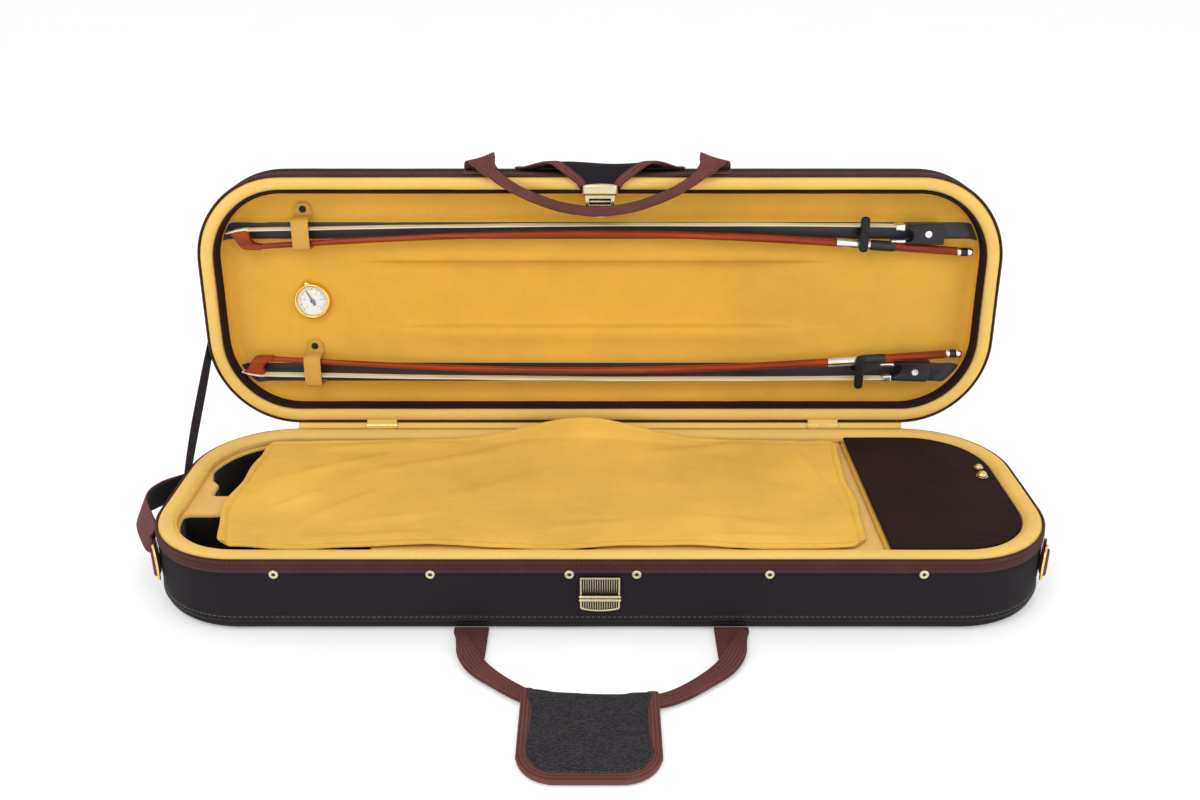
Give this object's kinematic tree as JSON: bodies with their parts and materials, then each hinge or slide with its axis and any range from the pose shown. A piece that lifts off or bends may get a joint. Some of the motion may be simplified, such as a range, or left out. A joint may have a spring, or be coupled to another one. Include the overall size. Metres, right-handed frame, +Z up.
{
  "type": "violin case",
  "caption": "Oblong hard violin case, open: canvas shell, padded rims, blanket over the bed, accessory compartment, lid with two bows in clips, hygrometer, hasp lock, handles.",
  "frame": {"origin": "middle of the flat underside of the base", "axes": "+Z up, +X to the right seen from the front, the front with the lock towards -Y, the lid hinged at +Y and standing open"},
  "size_m": [0.8302, 0.5117, 0.3439],
  "materials": {
    "canvas": "woven canvas twill",
    "webbing": "ribbed webbing",
    "gold_velvet": "short velvet pile",
    "brown_velvet": "short velvet pile",
    "piping": "satin vinyl",
    "brass": "polished",
    "nickel": "polished",
    "black_plastic": "satin",
    "dial": "matt",
    "glass": "clear",
    "stick_wood": "gloss varnish",
    "frog_wood": "satin ebony",
    "horsehair": "natural hair",
    "leather": "smooth"
  },
  "bodies": {
    "base": {"base_shell": "canvas", "base_trim": "webbing", "base_piping": "piping", "base_rim": "gold_velvet", "bed_foam": "gold_velvet", "accessory_box": "gold_velvet", "lock_plate": "brass", "side_handle": "webbing", "d_tab_left": "webbing", "d_tab_right": "webbing", "hinge_left_base_leaf": "brass", "hinge_left_pin": "nickel", "hinge_right_base_leaf": "brass", "hinge_right_pin": "nickel", "lid_stay": "piping", "front_stud_1": "brass", "front_stud_2": "brass", "front_stud_3": "brass", "front_stud_4": "brass", "front_stud_5": "brass", "front_stud_6": "brass"},
    "lid": {"lid_shell": "canvas", "lid_trim": "webbing", "lid_piping": "piping", "lid_rim": "gold_velvet", "lid_seal": "brown_velvet", "lid_liner": "gold_velvet", "hygrometer_case": "brass", "hygrometer_dial": "dial", "hygrometer_glass": "glass", "bow_clip_upper": "gold_velvet", "bow_clip_lower": "gold_velvet", "latch_flap": "canvas", "lid_handle_tab_left": "webbing", "lid_handle_tab_right": "webbing", "hinge_left_lid_leaf": "brass", "hinge_right_lid_leaf": "brass", "bow_upper_stick": "stick_wood", "bow_upper_hair": "horsehair", "bow_upper_frog": "frog_wood", "bow_upper_grip": "leather", "bow_upper_button": "nickel", "bow_lower_stick": "stick_wood", "bow_lower_hair": "horsehair", "bow_lower_frog": "frog_wood", "bow_lower_grip": "leather", "bow_lower_button": "nickel"},
    "lock_slide": {"lock_slide": "brass"},
    "d_ring_left": {"d_ring_left": "brass"},
    "d_ring_right": {"d_ring_right": "brass"},
    "blanket": {"blanket": "gold_velvet"},
    "accessory_lid": {"accessory_lid": "brown_velvet", "accessory_knob": "brass"},
    "base_handle": {"base_handle_strap": "webbing", "base_handle_wrap": "canvas"},
    "hasp": {"hasp": "brass"},
    "lid_handle": {"lid_handle": "webbing"},
    "turn_button_upper": {"turn_button_upper": "black_plastic"},
    "turn_button_lower": {"turn_button_lower": "black_plastic"},
    "hygrometer_needle": {"hygrometer_needle": "black_plastic"}
  },
  "joints": [
    {"name": "lid_hinge", "type": "hinge", "parent": "base", "child": "lid", "pos_m": [0, 0.1315, 0.0735], "axis": [-1, 0, 0], "range_deg": [-93.4, 0], "deforming": ["lid_stay"]},
    {"name": "hasp_swing", "type": "hinge", "parent": "lid", "child": "hasp", "pos_m": [0, 0.14369, 0.33764], "axis": [-1, 0, 0], "range_deg": [0, 95]},
    {"name": "lid_handle_swing", "type": "hinge", "parent": "lid", "child": "lid_handle", "pos_m": [0, 0.14986, 0.34038], "axis": [-1, 0, 0], "range_deg": [0, 95]},
    {"name": "base_handle_swing", "type": "hinge", "parent": "base", "child": "base_handle", "pos_m": [0, -0.1315, 0.0055], "axis": [-1, 0, 0], "range_deg": [0, 88]},
    {"name": "accessory_lid_hinge", "type": "hinge", "parent": "base", "child": "accessory_lid", "pos_m": [0.25, 0, 0.066], "axis": [0, -1, 0], "range_deg": [0, 90]},
    {"name": "blanket_flap", "type": "hinge", "parent": "base", "child": "blanket", "pos_m": [0, 0.1035, 0.0713], "axis": [-1, 0, 0], "range_deg": [0, 80]},
    {"name": "turn_button_upper_turn", "type": "hinge", "parent": "lid", "child": "turn_button_upper", "pos_m": [0.262, 0.17087, 0.27252], "axis": [0, -0.9982, 0.0593], "range_deg": [0, 90]},
    {"name": "turn_button_lower_turn", "type": "hinge", "parent": "lid", "child": "turn_button_lower", "pos_m": [0.268, 0.1623, 0.12827], "axis": [0, -0.9982, 0.0593], "range_deg": [0, 90]},
    {"name": "hygrometer_needle_turn", "type": "hinge", "parent": "lid", "child": "hygrometer_needle", "pos_m": [-0.295, 0.16654, 0.19964], "axis": [0, -0.9982, 0.0593], "range_deg": [-130, 130]},
    {"name": "lock_slide_travel", "type": "slide", "parent": "base", "child": "lock_slide", "axis": [0, 0, 1], "range_m": [0, 0.0045], "stiffness_N_per_m": 60},
    {"name": "d_ring_left_swing", "type": "hinge", "parent": "base", "child": "d_ring_left", "pos_m": [-0.39106, -0.09003, 0.045], "axis": [0, 0, -1], "range_deg": [0, 110]},
    {"name": "d_ring_right_swing", "type": "hinge", "parent": "base", "child": "d_ring_right", "pos_m": [0.39106, -0.09003, 0.045], "axis": [0, 0, 1], "range_deg": [0, 110]}
  ],
  "couplings": [
    {"joint": "hasp_swing", "follows": "lid_hinge", "ratio": -1},
    {"joint": "lid_handle_swing", "follows": "lid_hinge", "ratio": -1}
  ]
}
